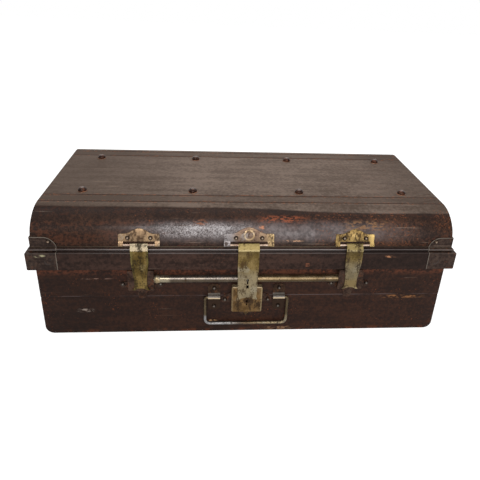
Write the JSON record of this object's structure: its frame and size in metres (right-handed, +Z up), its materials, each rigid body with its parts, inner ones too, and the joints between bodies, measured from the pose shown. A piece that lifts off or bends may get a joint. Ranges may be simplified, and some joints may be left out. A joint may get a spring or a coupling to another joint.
{
  "type": "steel trunk",
  "caption": "Low rectangular sheet-steel trunk with a rolled lid, deep rim band, hasps, bar lock and drop handles.",
  "frame": {"origin": "centre of the underside, on the floor", "axes": "+X along the trunk to the right, -Y to the front with the locks, +Z up"},
  "size_m": [0.7648, 0.4152, 0.2528],
  "materials": {
    "dark_paint": "worn satin enamel over steel sheet",
    "lid_paint": "dusty satin enamel over steel sheet",
    "dark_iron": "dark oxidised iron with bright wear",
    "painted_iron": "dark paint worn at the edges",
    "bare_steel": "bare steel with a dull film",
    "aged_brass": "aged brass with grey patina and stains"
  },
  "bodies": {
    "trunk": {"bar_casing": "aged_brass", "body_back_panel": "dark_paint", "body_front_panel": "dark_paint", "body_rim": "dark_paint", "body_rivets": "dark_iron", "body_wrapper": "dark_paint", "catch_base_left": "painted_iron", "catch_base_right": "painted_iron", "catch_box_left": "painted_iron", "catch_box_right": "painted_iron", "front_handle_clips": "dark_iron", "hinge_body_leaf_left": "dark_iron", "hinge_body_leaf_right": "dark_iron", "hinge_pin_left": "dark_iron", "hinge_pin_right": "dark_iron", "key_gear_post": "bare_steel", "left_handle_clips": "dark_iron", "lock_base_plate": "painted_iron", "lock_box": "aged_brass", "right_handle_clips": "dark_iron"},
    "lid": {"lid_top_sheet": "lid_paint", "lid_end_left": "lid_paint", "lid_end_right": "lid_paint", "lid_rim_band": "dark_paint", "corner_cap_front_left": "dark_paint", "corner_cap_front_right": "dark_paint", "corner_cap_back_left": "dark_paint", "corner_cap_back_right": "dark_paint", "lid_studs": "dark_iron", "stud_washers": "dark_iron", "lid_rivets": "dark_iron", "hinge_lid_leaf_left": "dark_iron", "hinge_lid_leaf_right": "dark_iron", "hasp_plate_center": "aged_brass", "hasp_plate_left": "aged_brass", "hasp_plate_right": "aged_brass", "hasp_pin_center": "aged_brass", "hasp_pin_left": "aged_brass", "hasp_pin_right": "aged_brass"},
    "hasp_center": {"hasp_strap_center": "aged_brass"},
    "hasp_left": {"hasp_strap_left": "aged_brass"},
    "hasp_right": {"hasp_strap_right": "aged_brass"},
    "front_handle": {"front_handle_bail": "aged_brass"},
    "left_handle": {"left_handle_bail": "aged_brass"},
    "right_handle": {"right_handle_bail": "aged_brass"},
    "lock_bolt": {"lock_bolt": "bare_steel"},
    "lock_bar_left": {"lock_bar_left": "bare_steel"},
    "lock_bar_right": {"lock_bar_right": "bare_steel"},
    "key_gear": {"key_gear": "bare_steel"}
  },
  "joints": [
    {"name": "lid_hinge", "type": "hinge", "parent": "trunk", "child": "lid", "pos_m": [0, 0.2063, 0.13946], "axis": [-1, 0, 0], "range_deg": [0, 105]},
    {"name": "hasp_center_hinge", "type": "hinge", "parent": "lid", "child": "hasp_center", "pos_m": [0, -0.1976, 0.19116], "axis": [-1, 0, 0], "range_deg": [0, 145]},
    {"name": "hasp_left_hinge", "type": "hinge", "parent": "lid", "child": "hasp_left", "pos_m": [-0.19, -0.1976, 0.19116], "axis": [-1, 0, 0], "range_deg": [0, 145]},
    {"name": "hasp_right_hinge", "type": "hinge", "parent": "lid", "child": "hasp_right", "pos_m": [0.19, -0.1976, 0.19116], "axis": [-1, 0, 0], "range_deg": [0, 145]},
    {"name": "front_handle_swing", "type": "hinge", "parent": "trunk", "child": "front_handle", "pos_m": [0, -0.1972, 0.08018], "axis": [-1, 0, 0], "range_deg": [0, 150]},
    {"name": "left_handle_swing", "type": "hinge", "parent": "trunk", "child": "left_handle", "pos_m": [-0.3742, 0, 0.10393], "axis": [0, 1, 0], "range_deg": [0, 150]},
    {"name": "right_handle_swing", "type": "hinge", "parent": "trunk", "child": "right_handle", "pos_m": [0.3742, 0, 0.10393], "axis": [0, -1, 0], "range_deg": [0, 150]},
    {"name": "lock_bolt_slide", "type": "slide", "parent": "trunk", "child": "lock_bolt", "axis": [-1, 0, 0], "range_m": [0, 0.008]},
    {"name": "lock_bar_left_slide", "type": "slide", "parent": "trunk", "child": "lock_bar_left", "axis": [-1, 0, 0], "range_m": [0, 0.014]},
    {"name": "lock_bar_right_slide", "type": "slide", "parent": "trunk", "child": "lock_bar_right", "axis": [1, 0, 0], "range_m": [0, 0.014]},
    {"name": "key_gear_turn", "type": "hinge", "parent": "trunk", "child": "key_gear", "pos_m": [0, -0.1978, 0.1204], "axis": [0, -1, 0], "range_deg": [0, 272]}
  ],
  "couplings": [
    {"joint": "lock_bar_right_slide", "follows": "lock_bar_left_slide", "ratio": 1},
    {"joint": "key_gear_turn", "follows": "lock_bar_left_slide", "rad_per_m": 333.33}
  ]
}
